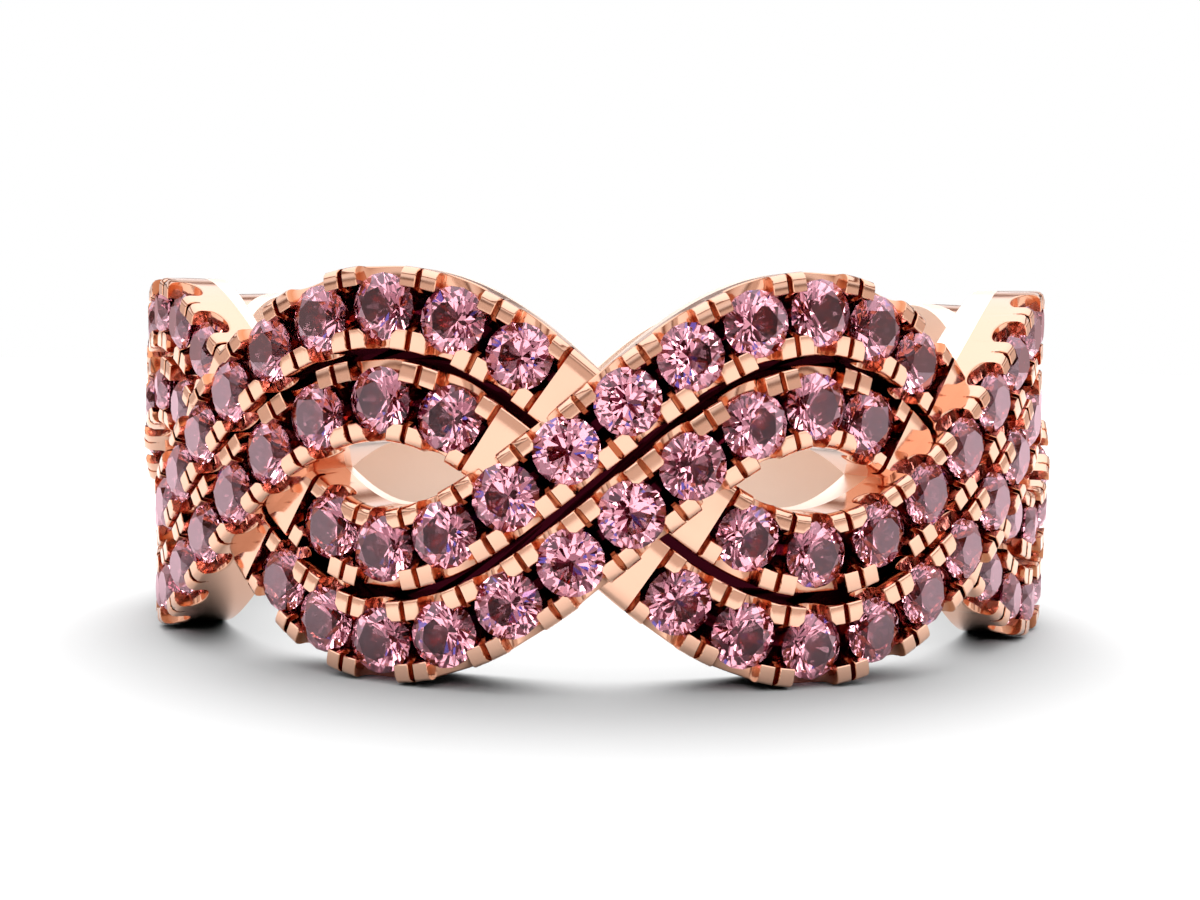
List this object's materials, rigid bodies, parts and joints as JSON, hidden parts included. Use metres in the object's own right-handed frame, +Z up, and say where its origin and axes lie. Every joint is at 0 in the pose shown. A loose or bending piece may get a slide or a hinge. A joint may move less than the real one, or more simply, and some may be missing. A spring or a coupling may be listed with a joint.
{
  "type": "infinity ring",
  "caption": "Open-work finger ring of two interwoven strands that cross in an endless infinity pattern, each set with two rows of small round cut stones in split prongs.",
  "frame": {"origin": "on the axis of the finger hole, in the plane of the lower crests that the ring lies on", "axes": "+Z up along the axis of the finger hole, -Y towards the crossing at the front where the strand that rises to the right lies on top, +X to the right"},
  "size_m": [0.0206, 0.0206, 0.0072],
  "materials": {
    "gold": "polished rose gold",
    "stone": "faceted, polished, mauve pink"
  },
  "bodies": {
    "root": {"band": "gold", "stones_first_strand": "stone", "stones_second_strand": "stone"}
  },
  "joints": []
}
